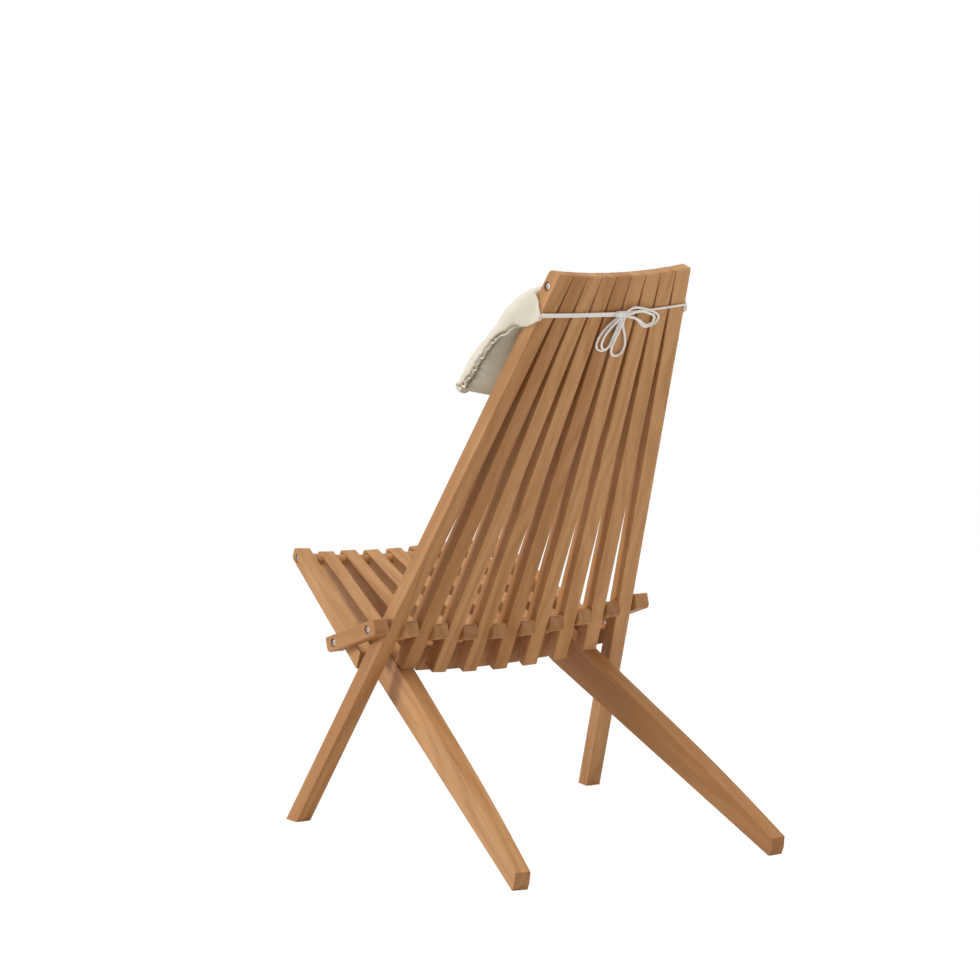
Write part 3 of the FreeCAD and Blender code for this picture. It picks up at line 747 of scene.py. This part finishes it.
def rear_panel(piece):
    """Gives the faces behind the side seams the plainer cloth of the rear."""
    along, across, front = np.array(SEAM).T
    order = np.argsort(along)
    for face in piece.data.polygons:
        middle = (face.center - LUMBAR) / MM
        height = middle.dot(BACK_UP)
        if height > along.max():
            continue
        wide = np.interp(height, along[order], across[order])
        deep = np.interp(height, along[order], front[order])
        edge = Vector((1, 0, 0)) * wide + BACK_FRONT * deep
        inner = BACK_FRONT * (deep - PANEL_CUT[1]) + Vector((1, 0, 0)) * (wide - PANEL_CUT[0])
        cut = (edge - inner).normalized()
        depth = middle.dot(BACK_FRONT)
        place = Vector((abs(middle.x), 0, 0)) + BACK_FRONT * depth
        behind = depth < deep + PANEL_SPARE and (place - edge).dot(cut) < 0
        if behind and face.normal.dot(BACK_FRONT) < PANEL_FACING:
            face.material_index = 1


def make_pillow():
    pillow = copy_node("head_pillow", "pillow_case")
    remesh(pillow, COARSE_MESH * MM)
    inflate(pillow)
    slim(pillow)
    corners = [copy_node("pillow_tab_" + side, "corner_" + side) for side in ("left", "right")]
    gussets = [make_gusset(side, pillow, corner) for side, corner in zip((1, -1), corners)]
    join(pillow, corners + gussets + [make_ear(1), make_ear(-1)])
    remesh(pillow, FINE_MESH * MM)
    soften = pillow.modifiers.new("soften", "SMOOTH")
    soften.factor = SOFTEN_FACTOR
    soften.iterations = SOFTEN_STEPS
    apply_modifiers(pillow)
    pucker(pillow, 1)
    pucker(pillow, -1)
    smooth(pillow)
    pillow.data.materials.clear()
    pillow.data.materials.append(LINEN)
    pillow.data.materials.append(LINEN_REAR)
    rear_panel(pillow)
    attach(pillow, "back")
    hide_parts("head_pillow", "pillow_tab_left", "pillow_tab_right")
    make_ruffle(1, "seam_ruffle_left")
    make_ruffle(-1, "seam_ruffle_right")


make_pillow()


# Tie cord, its knot and bow. Each has its length, and its route: across, height along the back,
# behind the rods. In millimetres

CORD_RADIUS = 1.75
CORDS = {
    "tie_cord_left_upper": (129.7, (
        (124.6, 582.9, 17.7), (110.0, 582.5, 17.8), (60.0, 580.4, 18.2), (20.0, 579.8, 19.0),
        (-5.0, 579.8, 20.4),
    )),
    "tie_cord_left_lower": (130.1, (
        (125.0, 579.2, 17.7), (110.0, 578.8, 17.8), (60.0, 576.7, 18.2), (20.0, 576.1, 19.0),
        (-5.0, 576.0, 20.6),
    )),
    "tie_cord_right": (106.2, (
        (-123.8, 586.8, 17.7), (-110.0, 585.6, 17.8), (-70.0, 581.8, 18.1), (-38.0, 580.4, 19.0),
        (-18.0, 579.6, 21.0),
    )),
    "bow_loop_left_outer": (148.2, (
        (-8.5, 576.0, 22.2), (4.5, 560.0, 20.8), (13.5, 541.0, 19.8), (14.5, 519.0, 19.4),
        (0.0, 510.5, 19.4), (-13.0, 520.0, 19.4), (-13.5, 542.0, 19.8), (-12.0, 560.0, 20.6),
        (-11.5, 576.0, 21.8),
    )),
    "bow_loop_left_inner": (127.7, (
        (-9.0, 576.5, 26.0), (2.5, 559.0, 25.8), (9.0, 541.0, 24.6), (8.0, 522.0, 23.6),
        (-1.5, 516.0, 23.6), (-8.0, 526.0, 23.8), (-7.5, 545.0, 24.6), (-12.0, 574.6, 26.0),
    )),
    "bow_loop_middle": (166.5, (
        (-16.5, 576.0, 25.8), (-12.5, 556.0, 28.2), (-9.5, 538.0, 28.2), (-9.0, 520.0, 26.6),
        (-17.0, 505.0, 22.6), (-33.0, 501.5, 19.6), (-39.5, 517.0, 18.6), (-31.0, 540.0, 19.2),
        (-20.5, 557.0, 21.4), (-15.5, 575.0, 23.2),
    )),
    "bow_loop_right_outer": (153.9, (
        (-17.0, 581.6, 23.6), (-25.0, 591.5, 23.4), (-43.0, 589.0, 22.8), (-64.0, 582.0, 22.4),
        (-81.0, 573.0, 21.2), (-79.0, 556.5, 20.0), (-62.0, 549.5, 18.8), (-49.0, 561.5, 18.6),
        (-37.0, 572.0, 19.0), (-18.0, 575.4, 20.6),
    )),
    "bow_loop_right_inner": (121.5, (
        (-19.5, 580.0, 26.0), (-38.0, 588.0, 27.4), (-53.0, 582.5, 26.8), (-70.0, 575.5, 25.6),
        (-70.0, 561.5, 24.6), (-57.0, 557.0, 23.6), (-44.0, 570.5, 23.8), (-19.0, 577.0, 25.6),
    )),
}
COTTON_STOPS = ((0.3, (0.93, 0.90, 0.83)), (0.7, (0.98, 0.97, 0.92)))
COTTON_NOISE = 1400.0
COTTON_BUMP = 0.6
COTTON_RELIEF = 0.0003


def cord_material():
    material, tree, shader = new_material("cotton_cord")
    fibres = noise(tree, add(tree, "ShaderNodeTexCoord").outputs["Object"], COTTON_NOISE, 3.0)
    feed(
        tree, shader,
        Base_Color=ramp(tree, fibres, *COTTON_STOPS),
        Normal=bump(tree, fibres, COTTON_BUMP, COTTON_RELIEF),
        Roughness=0.92,
    )
    return material


COTTON = cord_material()


def cord_curve(name, points, radius):
    """A piece of cotton cord along the points, riding on the back."""
    data = bpy.data.curves.new(name, "CURVE")
    data.dimensions = "3D"
    data.resolution_u = 16
    data.bevel_depth = radius * MM
    data.bevel_resolution = 6
    data.use_fill_caps = True
    spline = data.splines.new("NURBS")
    spline.points.add(len(points) - 1)
    for target, point in zip(spline.points, points):
        target.co = (*point, 1.0)
    spline.order_u = 3
    spline.use_endpoint_u = True
    data.materials.append(COTTON)
    piece = new_object(name, data)
    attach(piece, "back")
    return piece


def make_cords():
    for name, (length, route) in CORDS.items():
        points = [back_point(x, along, -out) for x, along, out in route]
        piece = cord_curve("cotton_" + name, points, CORD_RADIUS)
        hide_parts(name)


make_cords()

KNOT_MIDDLE = (-11.0, 579.0, 22.1)
KNOT_TURNS = 5
TURN_STEPS = 12
KNOT_REACH = 8.0
KNOT_RADIUS = 3.3
KNOT_WOBBLE = 0.35
KNOT_SLANT = 1.1
CORE_RADIUS = 2.6
CORE_SPARE = 2
CORE_BOW = 0.4


def make_knot():
    """A core of cord and turns wound round it, a little askew."""
    x, along, out = KNOT_MIDDLE
    rows = []
    steps = KNOT_TURNS * TURN_STEPS
    for i in range(steps + 1):
        part = i / steps
        angle = part * KNOT_TURNS * 2 * math.pi
        wobble = KNOT_WOBBLE * math.sin(angle * 0.37 + 1.0)
        across = x - KNOT_REACH + 2 * KNOT_REACH * part + KNOT_SLANT * math.sin(angle)
        rows.append(back_point(
            across,
            along + (KNOT_RADIUS + wobble) * math.cos(angle),
            -out + (KNOT_RADIUS - wobble) * math.sin(angle),
        ))
    wraps = cord_curve("knot_wraps", rows, CORD_RADIUS)
    reach = KNOT_REACH + CORE_SPARE
    core = cord_curve("knot_core", [
        back_point(x - reach, along, -out),
        back_point(x, along + CORE_BOW, -out - CORE_BOW),
        back_point(x + reach, along - CORE_BOW, -out),
    ], CORE_RADIUS)
    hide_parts("tie_knot")
    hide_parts("tie_knot")


make_knot()


# Light, floor and background

WORLD_LIGHT = 0.26
BACKGROUND = 1.075
FLOOR_HALF = 12.0
FLOOR_CLEAR = 0.9
FLOOR_ROUGHNESS = 0.9
WHITE = (1, 1, 1, 1)


def make_world():
    """Soft light all round, and a white background."""
    world = bpy.data.worlds.new("studio")
    bpy.context.scene.world = world
    world.use_nodes = True
    tree = world.node_tree
    tree.nodes.clear()
    path = add(tree, "ShaderNodeLightPath").outputs
    mix = add(tree, "ShaderNodeMixShader")
    shown = math_node(tree, "MAXIMUM", path["Is Camera Ray"], path["Is Glossy Ray"])
    shaders = [
        add(tree, "ShaderNodeBackground", in_Color=WHITE, in_Strength=strength).outputs[0]
        for strength in (WORLD_LIGHT, BACKGROUND)
    ]
    for socket, value in zip(mix.inputs, [shown] + shaders):
        tree.links.new(value, socket)
    tree.links.new(mix.outputs[0], add(tree, "ShaderNodeOutputWorld").inputs[0])


def make_floor():
    """A white floor, clear to the camera and from below, so that folded legs show past it."""
    mesh = bmesh.new()
    bmesh.ops.create_grid(mesh, x_segments=1, y_segments=1, size=FLOOR_HALF)
    floor = mesh_object("floor", mesh)
    material, tree, shader = new_material("floor_white")
    feed(tree, shader, Base_Color=(0.9, 0.9, 0.9, 1), Roughness=FLOOR_ROUGHNESS)
    clear = add(tree, "ShaderNodeBsdfTransparent")
    path = add(tree, "ShaderNodeLightPath").outputs
    facing = add(tree, "ShaderNodeNewGeometry").outputs
    mix = add(tree, "ShaderNodeMixShader")
    shown = math_node(tree, "MULTIPLY", path["Is Camera Ray"], FLOOR_CLEAR)
    shown = math_node(tree, "MAXIMUM", shown, facing["Backfacing"])
    for socket, value in zip(mix.inputs, (shown, shader.outputs[0], clear.outputs[0])):
        tree.links.new(value, socket)
    tree.links.new(mix.outputs[0], tree.nodes["Material Output"].inputs[0])
    floor.data.materials.append(material)


# Each lamp's place, what it is aimed at, its diameter and its power
LAMPS = {
    "side": ((4.0, -1.4, 1.1), (0, 0, 0.45), 1.4, 74),
    "above": ((0.6, 0.9, 4.2), (0, 0, 0.45), 3.0, 112),
    "behind": ((-1.5, 2.0, 0.9), (0, 0, 0.55), 1.4, 10),
}


def make_lamps():
    for name, (place, aim, size, power) in LAMPS.items():
        data = bpy.data.lights.new(name, "AREA")
        data.shape = "DISK"
        data.size = size
        data.energy = power
        lamp = new_object(name, data)
        lamp.location = place
        lamp.rotation_euler = (Vector(place) - Vector(aim)).to_track_quat("Z", "Y").to_euler()


make_world()
make_floor()
make_lamps()
bpy.context.scene.view_settings.view_transform = "Standard"
